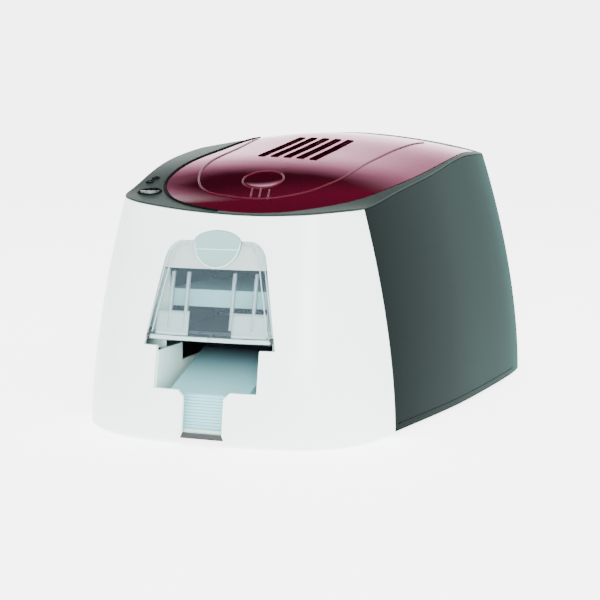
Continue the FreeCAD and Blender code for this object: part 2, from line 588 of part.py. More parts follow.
# Spur gears with straight-sided teeth
def gear_solid(teeth, bore, x, y, z, turn):
    pitch_radius = teeth * s["gear_module"] / 2
    tip = pitch_radius + s["gear_module"] - s["gear_backlash"]
    root = pitch_radius - 1.25 * s["gear_module"]
    pitch_angle = 2 * math.pi / teeth
    root_share = 0.24
    tip_share = 0.10
    corners = []
    for tooth in range(teeth):
        middle = math.radians(turn) + tooth * pitch_angle
        for radius, share in ((root, -root_share), (tip, -tip_share), (tip, tip_share), (root, root_share)):
            angle = middle + share * pitch_angle
            corners.append(V(0, radius * math.cos(angle), radius * math.sin(angle)))
    shape = Part.Face(Part.makePolygon(corners + corners[:1])).extrude(V(s["gear_width"], 0, 0))
    shape = shape.cut(Part.makeCylinder(bore, 2 * s["gear_width"], V(-s["gear_width"] / 2, 0, 0), X_AXIS))
    shape.translate(V(x, y, z))
    return shape


half_tooth_big = 180.0 / big_teeth
half_tooth_small = 180.0 / small_teeth
for name, y in roller_rows:
    keep(made_of(name + "_gear", gear_solid(big_teeth, s["shaft_radius"], s["gear_x"], y, shaft_z, 0)), name + "_gear")
idler_names = ["pickup_idler", "front_idler", "rear_idler"]
stud_reach = 1.5
stud_length = s["gear_x"] + s["gear_width"] - s["frame_x"] + stud_reach
for name, (y, radius) in zip(idler_names, idler_spots):
    teeth = small_teeth if radius == small_radius else big_teeth
    turn = half_tooth_small if radius == small_radius else half_tooth_big
    solid = gear_solid(teeth, stud_radius + s["bush_gap"], s["gear_x"], y, shaft_z, turn)
    keep(made_of(name, solid), name)
    keep(rod(name + "_stud", stud_radius, stud_length, ("frame_x", y, shaft_z)), "idler_studs")
pinion_y = s["outfeed_y"]
pinion_z = shaft_z - gear_radius - small_radius
pinion_bore = s["pinion_bore"]
pinion_solid = gear_solid(small_teeth, pinion_bore, s["gear_x"], pinion_y, pinion_z, 90 + half_tooth_small)
pinion_core = rod("pinion_core", "pinion_bore", "pinion_length", ("gear_x", pinion_y, pinion_z))
keep(fuse("motor_pinion", [made_of("pinion_teeth", pinion_solid), pinion_core]), "motor_pinion")
motor_plate_x = 65.0
motor_plate_thickness = 2.0
motor_plate_half = 16.0
motor_plate_top = 82.0
motor_plate_size = (motor_plate_thickness, 2 * motor_plate_half, motor_plate_top - s["frame_base_z"])
motor_plate = box("motor_plate_blank", motor_plate_size, (motor_plate_x, pinion_y - motor_plate_half, "frame_base_z"))
motor_hole = rod("motor_plate_hole", 3 * pinion_bore, 4 * motor_plate_thickness,
                 (motor_plate_x - motor_plate_thickness, pinion_y, pinion_z))
keep(cut("motor_bracket", motor_plate, [motor_hole]), "motor_bracket")
motor_x = motor_plate_x + motor_plate_thickness
motor_blank = rod("motor_blank", "motor_radius", "motor_length", (motor_x, pinion_y, pinion_z))
motor_cut = rod("motor_cut", "pinion_bore + bush_gap", "2 * motor_length", (motor_plate_x, pinion_y, pinion_z))
keep(cut("drive_motor", motor_blank, [motor_cut]), "drive_motor")

# Ribbon cassette: two end plates, two ties, two spools and the film between
cassette_x = 36.0
cassette_front = 122.0
cassette_rear = 258.0
cassette_base = 124.0
cassette_top = 149.0
cassette_plate = 2.0
window_front = 155.0
window_length = 70.0
window_sill = 7.0
window_height = 20.0
cassette_pieces = []
for side in (-1, 1):
    start = cassette_x if side > 0 else -cassette_x - cassette_plate
    blank_size = (cassette_plate, cassette_rear - cassette_front, cassette_top - cassette_base)
    blank = box("cassette_blank_%d" % side, blank_size, (start, cassette_front, cassette_base))
    middle = box("cassette_middle_%d" % side, (2 * cassette_plate, window_length, window_height),
                 (start - cassette_plate / 2, window_front, cassette_base + window_sill))
    holes = [middle]
    for name, y in spool_rows:
        holes.append(rod("cassette_hole_%s_%d" % (name, side), "spool_radius / 2 + bush_gap", 3 * cassette_plate,
                         (start - cassette_plate, y, "spool_z")))
    cassette_pieces.append(cut("cassette_plate_%d" % side, blank, holes))
tie_radius = 2.0
tie_lift = 3.0
tie_half = cassette_x + cassette_plate / 2
for y in (cassette_front + 2 * tie_radius, cassette_rear - 2 * tie_radius):
    tie = rod("cassette_tie_%d" % y, tie_radius, 2 * tie_half, (-tie_half, y, cassette_base + tie_lift))
    cassette_pieces.append(tie)
keep(fuse("cassette_frame", cassette_pieces), "ribbon_cassette")
saddle_depth = 6.0
saddle_height = 2.0
saddle_overlap = 1.0
saddle_inset = 2.0
saddle_end = s["frame_x"] + s["frame_thickness"]
saddle_start = cassette_x - saddle_overlap
for side in (-1, 1):
    start = saddle_start if side > 0 else -saddle_end
    for y in (cassette_front + saddle_inset, cassette_rear - saddle_inset - saddle_depth):
        keep(box("saddle_%d_%d" % (side, y), (saddle_end - saddle_start, saddle_depth, saddle_height),
                 (start, y, "frame_top_z")), "cassette_saddles")
core_reach = 4.0
for name, y in spool_rows:
    journal = rod(name + "_journal", "spool_radius / 2", 2 * cassette_x + 4 * cassette_plate,
                  (-cassette_x - 2 * cassette_plate, y, "spool_z"))
    core_half = s["spool_length"] / 2 + core_reach
    core = rod(name + "_core", "spool_radius", 2 * core_half, (-core_half, y, "spool_z"))
    keep(fuse(name + "_spool", [journal, core]), name + "_spool")
    roll = rod(name + "_roll_blank", name + "_wound", "spool_length", ("-spool_length / 2", y, "spool_z"))
    core_cut = rod(name + "_roll_bore", "spool_radius", "spool_length * 2", ("-spool_length", y, "spool_z"))
    keep(cut(name + "_ribbon_roll", roll, [core_cut]), name + "_ribbon_roll")

# Print head carried under the cover
head_y = s["platen_y"]
head_z = s["card_path_z"] + s["head_gap"]
sink_z = head_z + s["element_height"]
keep(box("print_head", ("head_length", "head_depth", "element_height"),
         ("-head_length / 2", "platen_y - head_depth / 2", head_z)), "print_head")
keep(box("head_heatsink", ("head_length", "head_depth", "sink_height"),
         ("-head_length / 2", "platen_y - head_depth / 2", sink_z)), "head_heatsink")
arm_base = sink_z + s["sink_height"]
arm_half = 18.0
arm_depth = 10.0
arm = block(-arm_half, arm_half, head_y - arm_depth / 2, head_y + arm_depth / 2, arm_base, far)
arm = arm.common(under_crown(s["cover_thickness"], far))
arm_wall = 2.5
arm = arm.cut(block(-arm_half + arm_wall, arm_half - arm_wall, 0, far, arm_base + 3 * arm_wall,
                    crown_height(0, head_y) - 4 * arm_wall))
keep(made_of("head_carrier", arm), "head_carrier")

# Boards, sockets, button, lenses and feet
board_y = 165.0
board_z = 16.0
board_back = s["board_x"] + s["board_thickness"]
keep(box("main_board", ("board_thickness", "board_length", "board_height"),
         ("board_x", board_y, board_z)), "main_board")
standoff_radius = 2.5
standoff_inset = 10.0
standoff_rise = 6.0
standoff_length = -s["frame_x"] - s["frame_thickness"] - board_back
for y in (board_y + standoff_inset, board_y + s["board_length"] - standoff_inset):
    for z in (board_z + standoff_rise, board_z + s["board_height"] - standoff_inset):
        standoff = rod("standoff_%d_%d" % (y, z), standoff_radius, standoff_length, (board_back, y, z))
        keep(standoff, "board_standoffs")
socket_board_x = -62.0
socket_board_y = 318.0
socket_board_length = 52.0
socket_board_depth = 26.0
socket_board_z = s["socket_z"] - s["board_thickness"]
post_inset = 6.0
post_y = socket_board_y + socket_board_depth / 2
tray_top = s["foot_height"] + s["tray_floor"]
keep(box("socket_board", (socket_board_length, socket_board_depth, "board_thickness"),
         (socket_board_x, socket_board_y, socket_board_z)), "socket_board")
for x in (socket_board_x + post_inset, socket_board_x + socket_board_length - post_inset):
    keep(rod("board_post_%d" % x, standoff_radius, socket_board_z - tray_top, (x, post_y, tray_top), "z"),
         "board_standoffs")
socket_end = 346.0
socket_wall = 1.5
usb_outer = box("usb_outer", ("usb_width", "usb_depth", "usb_height"),
                ("usb_x - usb_width / 2", "%s - usb_depth" % socket_end, "socket_z"))
usb_inner = box("usb_inner", ("usb_width - %s" % (2 * socket_wall), "usb_depth", "usb_height - %s" % (2 * socket_wall)),
                ("usb_x - usb_width / 2 + %s" % socket_wall, "%s - usb_depth" % (socket_end + socket_wall),
                 "socket_z + %s" % socket_wall))
keep(cut("usb_socket", usb_outer, [usb_inner]), "usb_socket")
jack_outer = box("jack_outer", ("jack_width", "jack_depth", "jack_height"),
                 ("jack_x - jack_width / 2", "%s - jack_depth" % socket_end, "socket_z"))
jack_bore = 3.5
jack_inner = rod("jack_inner", jack_bore, "jack_depth",
                 ("jack_x", "%s - jack_depth" % (socket_end + socket_wall), "socket_z + jack_height / 2"), "y")
keep(cut("power_socket", jack_outer, [jack_inner]), "power_socket")
keep(rod("control_button", "button_radius", button_length,
         ("button_x", "button_y", button_top + button_proud - button_length), "z"), "control_button")
button_board_left = 9.0
button_board_front = 7.0
button_board_width = 14.0
button_board_depth = 32.0
keep(box("button_board", (button_board_width, button_board_depth, "board_thickness"),
         ("button_x - %s" % button_board_left, "button_y - %s" % button_board_front,
          switch_z - s["board_thickness"])), "button_board")
lens_length = 4.0
lens_proud = 0.2
for index, (x, y) in enumerate(lens_spots):
    lens_base = crown_height(x, y) + lens_proud - lens_length
    keep(rod("lens_%d" % index, "lens_radius", lens_length, (x, y, lens_base), "z"), "indicator_lenses")
for x in ("foot_inset_x", "-foot_inset_x"):
    for y in ("foot_front_y", "foot_rear_y"):
        keep(rod("foot_%s_%s" % (x.replace("-", "m"), y), "foot_radius", "foot_height", (x, y, 0), "z"), "rubber_feet")

# Name the sub-parts, check and write
named = {}
for label, items in made.items():
    item = items[0]
    if len(items) > 1:
        item = doc.addObject("Part::Compound", "group_" + label)
        item.Links = items
    item.Label = label
    named[label] = item
doc.recompute()
for item in doc.Objects:
    if "Invalid" in item.State or "Error" in item.State:
        raise ValueError("bad object " + item.Name)
for label, item in named.items():
    shape = item.Shape
    if shape.isNull() or not shape.isValid() or not shape.Solids:
        raise ValueError("bad shape " + label)
    if item.Label != label:
        raise ValueError("bad label " + label)
    shape.exportStep("parts/" + label + ".step")
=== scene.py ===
import math

import bmesh
import bpy
from bpy.props import FloatProperty, FloatVectorProperty, PointerProperty
from bpy.types import Operator, Panel, PropertyGroup
from mathutils import Matrix, Vector

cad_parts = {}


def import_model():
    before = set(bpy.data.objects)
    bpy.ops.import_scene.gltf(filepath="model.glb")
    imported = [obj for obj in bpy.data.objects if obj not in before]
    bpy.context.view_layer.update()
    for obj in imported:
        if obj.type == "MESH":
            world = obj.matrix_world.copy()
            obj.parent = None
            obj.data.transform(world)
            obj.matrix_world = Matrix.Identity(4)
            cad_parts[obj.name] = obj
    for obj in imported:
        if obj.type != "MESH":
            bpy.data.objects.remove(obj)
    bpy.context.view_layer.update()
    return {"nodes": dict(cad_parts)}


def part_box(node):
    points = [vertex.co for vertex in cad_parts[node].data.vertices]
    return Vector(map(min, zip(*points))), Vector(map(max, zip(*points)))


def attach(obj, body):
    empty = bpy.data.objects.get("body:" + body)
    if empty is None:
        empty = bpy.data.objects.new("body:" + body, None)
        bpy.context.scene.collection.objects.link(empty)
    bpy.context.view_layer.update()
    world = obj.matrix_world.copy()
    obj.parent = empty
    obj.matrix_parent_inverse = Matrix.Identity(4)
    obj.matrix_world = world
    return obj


bl_info = {
    "name": "Card printer looks",
    "version": (1, 0, 0),
    "blender": (4, 5, 0),
    "location": "3D View > Sidebar > Card printer",
    "description": "Dresses the packed card printer with finishes, small details and a studio stage",
    "category": "Object",
}

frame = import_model()
nodes = frame["nodes"]
MM = 0.001

# Finishes
WHITE = (1, 1, 1)
PLASTIC_IOR, COAT_ROUGHNESS = 1.46, 0.06
CLOUD_SCALE, CLOUD_LOW, CLOUD_HIGH = 14.0, 0.3, 0.7
GRAIN_DEPTH = 0.0002
SIDE_FADE, SIDE_SHINE = (-0.02, 0.16), 0.037
COVER_FADE, COVER_METAL, COVER_SHINE, COVER_LEAN = (0.062, 0.102), 0.62, 0.2, 0.5
CARD_PITCH, CARD_LINE, CARD_REACH, LINE_START = 0.0019, 0.5, 0.0128, 0.35
# Painted shade on the cards, darker towards the back of the bay
BAY_SHADE_SPAN, BAY_SHADE = (0.022, 0.068), (0.05, 0.03, 0.045)

# Places below are in metres from the front centre at the table, unless a name ends in MM
SURFACE_LIFT = 0.0001
BEAD_SIDES = 8

# Top cover
COVER_MIDDLE = (0.010, 0.160)
COVER_STRETCH = 1.4
EDGE_NEAREST, EDGE_FURTHEST, EDGE_ERROR = 0.02, 0.4, 0.00005
# Painted shadow in the gap beside the cover: a black bead along the rim's edge
GAP_SHADOW_OFFSET, GAP_SHADOW_START, GAP_SHADOW_SWEEP, GAP_SHADOW_STEPS = 0.0013, 134, 128, 60
RAISED_LINE_MM = (
    (-60, 250), (-57, 225), (-53, 190), (-51.5, 160), (-51, 138), (-48, 113), (-42, 95), (-34, 81.5),
    (-24, 73.5), (-12, 69.5), (2, 68), (14, 69.5), (26, 75.5), (38, 87), (46, 101), (52, 119),
    (54.5, 140), (55, 165), (56, 190), (58, 220), (61.5, 250), (66, 285))
LINE_LIFT = 0.2
DIMPLE_MIDDLE, DIMPLE_RADII = (0.003, 0.101), (0.0137, 0.0150)
GRIP_RIB_X = (0.0015, 0.0075, 0.0135)
GRIP_RIB_REAR, GRIP_RIB_DRIFT = 0.0855, 0.005
SLOT_COUNT, SLOT_MIDDLE, SLOT_PITCH, SLOT_HALF = 5, -0.0005, 0.0098, 0.0021
SLOT_FRONT, SLOT_REAR = 0.1565, 0.2425
# Painted shade under the slots: a dark sheet below the cover where the inside lies in shade
SLOT_SHADE_LEFT, SLOT_SHADE_RIGHT = -0.025, 0.024
SLOT_SHADE_FRONT, SLOT_SHADE_LENGTH, SLOT_SHADE_STEPS = 0.154, 0.091, 12
SLOT_SHADE_TOP, SLOT_SHADE_FOOT = -0.00255, -0.0033

# Sides and button
# Painted shadow in the groove above the foot of each side
GROOVE_FRONT, GROOVE_REAR, GROOVE_HEIGHT = 0.074, 0.304, 0.0075
GROOVE_RADIUS, GROOVE_SINK = 0.0005, 0.0003
# Painted shadow: dark rings in the gaps round the button and the lenses
GAP_SHADOW_BEAD = 0.0006
# Painted shade: a dark crescent on the button's upper half
CRESCENT_RADIUS, CRESCENT_BEAD = 0.0042, 0.0011
CRESCENT_START, CRESCENT_SWEEP = 20, 140
LENS_SPOTS, LENS_RADIUS = ((-0.0765, 0.090), (-0.076, 0.098)), 0.0024

# Feeder door, as places in X and Z on its face and depths behind it
DOOR_RIB_X = (-0.0285, -0.0175, 0.0140, 0.0285)
DOOR_RIB_FOOT, DOOR_RIB_TOP = 0.072, 0.107
DOOR_RIB_HALF, DOOR_RIB_NEAR, DOOR_RIB_FAR = 0.0009, 0.0021, 0.0048
# Light lines along the door's edges: real bevel and flange edges, drawn lighter as painted highlight
DOOR_EDGE = (
    (-0.0428, 0.069), (-0.0402, 0.082), (-0.0366, 0.099), (-0.0335, 0.114), (-0.0318, 0.1192),
    (-0.0288, 0.1226), (-0.0245, 0.1246), (-0.0185, 0.1252))
INNER_EDGE_SHIFT, INNER_EDGE_COUNT = 0.0034, 6
EDGE_SINK, EDGE_BEAD, WAIST_BEAD = 0.35, 0.6, 0.45
PADS = (
    ((0.0265, 0.0750), (0.0115, 0.0075), 0.0023, 0.0038),
    ((0.0205, 0.0660), (0.0205, 0.0012), 0.0003, 0.0016))
FRAME_OUTLINE = (
    (0.0334, 0.1082), (0.0440, 0.1082), (0.0520, 0.0980), (0.0520, 0.0562), (0.0370, 0.0562),
    (0.0370, 0.0640), (0.0334, 0.0640))
FRAME_DEPTH, FRAME_THICKNESS = 0.0294, 0.0012
TAB_MIDDLE, TAB_RADIUS = (0.001, 0.1258), 0.0155
WAIST_LEFT, WAIST_RIGHT = (-0.0135, 0.1218), (0.0155, 0.1218)
DOT_X, DOT_Z, DOT_RADIUS, DOT_LENGTH, DOT_SINK = 0.0418, 0.0672, 0.0011, 0.0008, 0.0002

# Stage
SKY_BELOW, SKY_ABOVE = 0.21, 0.1
SKY_DARK, SIDE_DARK = (0.008, 0.008, 0.008), (0.45, 0.47, 0.47)
DARK_SIDE, DARK_START = (-0.85, -0.53, 0), 0.2
LAMPS = (("top", (0.25, -0.15, 2.1), 1.5, 1.0), ("front", (0.75, -1.7, 0.75), 0.9, 1.1))
LAMP_AIM, LAMP_ASPECT = (0, 0.17, 0.09), 0.7
CAMERA_AIM, CAMERA_DISTANCE = (0.05146, 0.04029, 0.090), 0.8602
CAMERA_TURN, CAMERA_TILT = 19.94, 7.44
CAMERA_LENS, CAMERA_SENSOR, CAMERA_REACH = 81.86, 36.0, 50.0
FLOOR_HALF = 8.0


class PrinterSizes(PropertyGroup):
    bead_radius: FloatProperty(
        name="Bead radius", description="Radius of the raised line on the cover",
        default=0.0007, unit="LENGTH")
    rib_length: FloatProperty(
        name="Grip rib length", description="Length of the ribs below the thumb dimple",
        default=0.017, unit="LENGTH")
    # Painted shade: a dark bead round each slot that widens its shaded opening
    slot_rim_shade: FloatProperty(
        name="Slot lip", description="Radius of the dark lip round each slot",
        default=0.0008, unit="LENGTH")
    # Painted shadow: this black bead stands for the shade in the gap beside the cover
    gap_shadow_radius: FloatProperty(
        name="Gap seal", description="Radius of the black seal beside the cover",
        default=0.0009, unit="LENGTH")
    # Painted shadow: a dark ring in the gap round the button
    button_gap_shadow: FloatProperty(
        name="Button ring", description="Radius of the ring round the button",
        default=0.0078, unit="LENGTH")
    sky: FloatProperty(
        name="Sky strength", description="Brightness of the white surroundings", default=5.2)
    floor_glow: FloatProperty(
        name="Floor glow", description="Light given off by the pale floor", default=4.4)
    sky_edge: FloatProperty(
        name="Sky edge", description="Height, as a sine, where the bright surroundings end", default=0.485)
    lamp_power: FloatProperty(
        name="Lamp power", description="Power of the top studio lamp", default=36.0, unit="POWER")


class PrinterColours(PropertyGroup):
    white: FloatVectorProperty(
        name="White shell", description="Colour of the front panel",
        default=(0.82, 0.96, 0.92), subtype="COLOR", size=3)
    grey: FloatVectorProperty(
        name="Grey shell", description="Colour of the side and rear panels",
        default=(0.0034, 0.0048, 0.0046), subtype="COLOR", size=3)
    rim: FloatVectorProperty(
        name="Rim", description="Colour of the rim round the cover",
        default=(0.0175, 0.0275, 0.0248), subtype="COLOR", size=3)
    cover: FloatVectorProperty(
        name="Cover", description="Tint of the top cover",
        default=(0.06, 0.0028, 0.0115), subtype="COLOR", size=3)
    pale: FloatVectorProperty(
        name="Pale inner plastic", description="Colour of the output bay",
        default=(0.58, 0.84, 0.78), subtype="COLOR", size=3)
    steel: FloatVectorProperty(
        name="Steel", description="Colour of plated steel",
        default=(0.55, 0.55, 0.56), subtype="COLOR", size=3)


def sizes():
    return bpy.context.scene.printer_sizes


def colours():
    return bpy.context.scene.printer_colours


# Shader helpers: each adds a node to a tree and gives back its output
def object_place(tree):
    return tree.nodes.new("ShaderNodeTexCoord").outputs["Object"]


def along(tree, place, direction):
    """Share of a coordinate that lies along a direction."""
    node = tree.nodes.new("ShaderNodeVectorMath")
    node.operation = "DOT_PRODUCT"
    node.inputs[1].default_value = direction
    tree.links.new(place, node.inputs[0])
    return node.outputs["Value"]


def reckon(tree, operation, value, constant=0.0):
    node = tree.nodes.new("ShaderNodeMath")
    node.operation = operation
    node.inputs[1].default_value = constant
    tree.links.new(value, node.inputs[0])
    return node.outputs["Value"]


def noise(tree, place, scale, detail=2.0):
    node = tree.nodes.new("ShaderNodeTexNoise")
    node.inputs["Scale"].default_value = scale
    node.inputs["Detail"].default_value = detail
    tree.links.new(place, node.inputs["Vector"])
    return node.outputs["Fac"]


def colour_ramp(tree, value, *stops):
    """Colours between two stops, each a place and a colour."""
    node = tree.nodes.new("ShaderNodeValToRGB")
    for element, (position, colour) in zip(node.color_ramp.elements, stops):
        element.position = position
        element.color = list(colour) + [1]
    tree.links.new(value, node.inputs["Fac"])
    return node.outputs["Color"]


def climb(tree, value, start, end, full=1.0, kind="LINEAR"):
    """A number that rises from zero to its full value between two places."""
    node = tree.nodes.new("ShaderNodeMapRange")
    node.interpolation_type = kind
    node.inputs["From Min"].default_value = start
    node.inputs["From Max"].default_value = end
    node.inputs["To Max"].default_value = full
    tree.links.new(value, node.inputs["Value"])
    return node.outputs["Result"]


def multiply(tree, first, second, share=1.0):
    """Product of two colours; each input is an output to link or a constant."""
    node = tree.nodes.new("ShaderNodeMix")
    node.data_type = "RGBA"
    node.blend_type = "MULTIPLY"
    for name, value in (("Factor", share), ("A", first), ("B", second)):
        if isinstance(value, bpy.types.NodeSocket):
            tree.links.new(value, node.inputs[name])
        else:
            node.inputs[name].default_value = value
    return node.outputs["Result"]


# Finishes
def plain_material(name, colour, roughness, metallic=0.0, grain=0.0, grain_scale=900.0, coat=0.0,
                   alpha=1.0, tone=0.04, shine=0.5, glow=0.0, shine_tint=WHITE, film=None):
    """A plain finish with a faint cloud in its tone, a fine grain and, if given, a tinted film."""
    material = bpy.data.materials.new(name)
    material.use_nodes = True
    tree = material.node_tree
    shader = tree.nodes["Principled BSDF"]
    settings = {
        "Roughness": roughness, "Metallic": metallic, "Coat Weight": coat, "Coat Roughness": COAT_ROUGHNESS,
        "Alpha": alpha, "Specular IOR Level": shine, "Specular Tint": list(shine_tint) + [1],
        "Emission Color": (1, 1, 1, 1), "Emission Strength": glow, "IOR": PLASTIC_IOR}
    if film:
        settings.update({"Coat Weight": 1.0, "Coat IOR": 1.0, "Coat Tint": list(film) + [1]})
    for socket, value in settings.items():
        shader.inputs[socket].default_value = value
    place = object_place(tree)
    dark = [part * (1 - tone) for part in colour]
    light = [min(part * (1 + tone), 1) for part in colour]
    cloud = colour_ramp(tree, noise(tree, place, CLOUD_SCALE), (CLOUD_LOW, dark), (CLOUD_HIGH, light))
    tree.links.new(cloud, shader.inputs["Base Color"])
    if grain:
        bump = tree.nodes.new("ShaderNodeBump")
        bump.inputs["Strength"].default_value = grain
        bump.inputs["Distance"].default_value = GRAIN_DEPTH
        tree.links.new(noise(tree, place, grain_scale), bump.inputs["Height"])
        tree.links.new(bump.outputs["Normal"], shader.inputs["Normal"])
    return material


def fade(material, socket, start, end, full, lean=0.0):
    """Raise an input from zero to its full value along Y, sooner at the left by the lean."""
    tree = material.node_tree
    depth = along(tree, object_place(tree), (-lean, 1, 0))
    amount = climb(tree, depth, start, end, full, "SMOOTHSTEP")
    tree.links.new(amount, tree.nodes["Principled BSDF"].inputs[socket])


def tint_over(material, shade, share):
    """Multiply the base colour by a shade, as far as a share says."""
    tree = material.node_tree
    base = tree.nodes["Principled BSDF"].inputs["Base Color"]
    tree.links.new(multiply(tree, base.links[0].from_socket, shade, share), base)


def stripe(material, pitch, shade, reach):
    """Fine level lines in front of a depth, as the edges of stacked cards show."""
    tree = material.node_tree
    place = object_place(tree)
    front = reckon(tree, "LESS_THAN", along(tree, place, (0, 1, 0)), reach)
    wave = reckon(tree, "SINE", reckon(tree, "MULTIPLY", along(tree, place, (0, 0, 1)), math.tau / pitch))
    lines = colour_ramp(tree, wave, (LINE_START, WHITE), (1.0, (shade,) * 3))
    tint_over(material, lines, front)


def paint_bay_shade(material, start, end, shade):
    """Painted shade: darken the colour along Y, as a surface that runs back into a dark bay."""
    tree = material.node_tree
    share = climb(tree, along(tree, object_place(tree), (0, 1, 0)), start, end)
    tint_over(material, list(shade) + [1], share)


def dress(names, material):
    for name in names:
        mesh = nodes[name].data
        mesh.materials.clear()
        mesh.materials.append(material)


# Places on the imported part
def meet(name, start, direction):
    """Where a ray from a place meets a named node."""
    hit, where = nodes[name].ray_cast(Vector(start), Vector(direction))[:2]
    if not hit:
        raise ValueError("%s isn't met from %.3f, %.3f, %.3f" % (name, *start))
    return where


def over(name, spots, lift=SURFACE_LIFT):
    """Points a little above a node's top, at places in X and Y."""
    return [Vector((x, y, meet(name, (x, y, 1.0), (0, 0, -1)).z + lift)) for x, y in spots]


def before(name, spots, sink=0.0):
    """Points on a node's front or a little behind it, at places in X and Z."""
    return [Vector((x, meet(name, (x, -1.0, z), (0, 1, 0)).y + sink, z)) for x, z in spots]


def cover_edge(angle):
    """Where the rim begins, on a level line from the cover's middle."""
    def spot(reach):
        return (COVER_MIDDLE[0] + reach * math.cos(angle),
                COVER_MIDDLE[1] + reach * math.sin(angle) * COVER_STRETCH)

    inside, outside = EDGE_NEAREST, EDGE_FURTHEST
    while outside - inside > EDGE_ERROR:
        reach = (inside + outside) / 2
        hit = nodes["top_cover"].ray_cast(Vector((*spot(reach), 1.0)), Vector((0, 0, -1)))[0]
        inside, outside = (reach, outside) if hit else (inside, reach)
    return spot(outside + GAP_SHADOW_OFFSET)


# Paths
def ellipse(middle, radii, count):
    turns = [math.tau * step / count for step in range(count)]
    return [(middle[0] + radii[0] * math.cos(turn), middle[1] + radii[1] * math.sin(turn)) for turn in turns]


def arc(middle, radius, start, sweep, count):
    """Points of an open arc, with its angles in degrees."""
    turns = [math.radians(start + sweep * step / count) for step in range(count + 1)]
    return [(middle[0] + radius * math.cos(turn), middle[1] + radius * math.sin(turn)) for turn in turns]


def steps_between(start, end, count):
    """Evenly spaced places from start to end, both included."""
    return [tuple(a + (b - a) * step / count for a, b in zip(start, end)) for step in range(count + 1)]


def smooth_path(points, steps):
    """Catmull-Rom points through the given ones."""
    result = []
    for index in range(len(points) - 1):
        p0 = points[max(index - 1, 0)]
        p1, p2 = points[index], points[index + 1]
        p3 = points[min(index + 2, len(points) - 1)]
        for step in range(steps):
            t = step / steps
            result.append(0.5 * (2 * p1 + (p2 - p0) * t + (2 * p0 - 5 * p1 + 4 * p2 - p3) * t * t
                                 + (3 * p1 - p0 - 3 * p2 + p3) * t ** 3))
    result.append(points[-1])
    return result


# Shapes
def bead(mesh, points, radius, closed=False):
    """A round bead swept along points, built by bridging rings."""
    rings = []
    count = len(points)
    for index, point in enumerate(points):
        ahead = points[(index + 1) % count] if closed or index < count - 1 else point
        behind = points[index - 1] if closed or index > 0 else point
        ring = bmesh.ops.create_circle(mesh, segments=BEAD_SIDES, radius=radius)["verts"]
        turn = (ahead - behind).normalized().to_track_quat("Z", "Y").to_matrix().to_4x4()
        bmesh.ops.transform(mesh, matrix=Matrix.Translation(point) @ turn, verts=ring)
        rings.append(list({edge for vert in ring for edge in vert.link_edges}))
    pairs = list(zip(rings, rings[1:]))
    if closed:
        pairs.append((rings[-1], rings[0]))
    for first, second in pairs:
        bmesh.ops.bridge_loops(mesh, edges=first + second)
    if not closed:
        for ring in (rings[0], rings[-1]):
            bmesh.ops.edgeloop_fill(mesh, edges=ring)


def bar(mesh, rows):
    """Close a run of four-cornered rows into a solid bar."""
    rows = [[mesh.verts.new(corner) for corner in row] for row in rows]
    for near, away in zip(rows, rows[1:]):
        for side in range(4):
            following = (side + 1) % 4
            mesh.faces.new((near[side], near[following], away[following], away[side]))
    mesh.faces.new(reversed(rows[0]))
    mesh.faces.new(rows[-1])


def sheet(mesh, centre, half, front, back):
    """A curved slab behind the door, between two offsets from its face."""
    sides = []
    for sink in (front, back):
        old = set(mesh.verts)
        bmesh.ops.create_grid(mesh, x_segments=10, y_segments=6, size=1.0)
        added = [vert for vert in mesh.verts if vert not in old]
        for vert in added:
            spot = (centre[0] + half[0] * vert.co.x, centre[1] + half[1] * vert.co.y)
            vert.co = before("feeder_door", [spot], sink)[0]
        sides.append({edge for vert in added for edge in vert.link_edges if edge.is_boundary})
    bmesh.ops.bridge_loops(mesh, edges=list(sides[0] | sides[1]))


def piece(name, mesh, material, body):
    """Turn a finished mesh into a named piece that rides on a body."""
    data = bpy.data.meshes.new(name)
    bmesh.ops.recalc_face_normals(mesh, faces=mesh.faces)
    for face in mesh.faces:
        face.smooth = True
    mesh.to_mesh(data)
    mesh.free()
    item = bpy.data.objects.new(name, data)
    bpy.context.scene.collection.objects.link(item)
    data.materials.append(bpy.data.materials[material])
    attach(item, body)


class PRINTER_OT_shell(Operator):
    """Finish the white front, grey sides, rim, base and feet"""
    bl_idname = "printer.shell"
    bl_label = "Shell finish"

    def execute(self, context):
        tint = colours()
        dress(["front_panel"], plain_material("white shell", tint.white, 0.32, grain=0.03, coat=0.25, tone=0.01))
        grey = plain_material("grey shell", tint.grey, 0.5, grain=0.12, tone=0.05, film=(0.9, 1.0, 0.99))
        fade(grey, "Specular IOR Level", *SIDE_FADE, SIDE_SHINE)
        dress(["left_side_panel", "right_side_panel", "rear_panel"], grey)
        dress(["base_tray"], plain_material("base plastic", (0.012, 0.014, 0.014), 0.5, grain=0.1))
        dress(["top_rim"], plain_material("rim plastic", tint.rim, 0.42, grain=0.08, tone=0.03, shine=0.024,
                                          film=(0.985, 1.0, 0.995)))
        dress(["rubber_feet"], plain_material("foot rubber", (0.015, 0.015, 0.015), 0.8, grain=0.3))
        return {"FINISHED"}


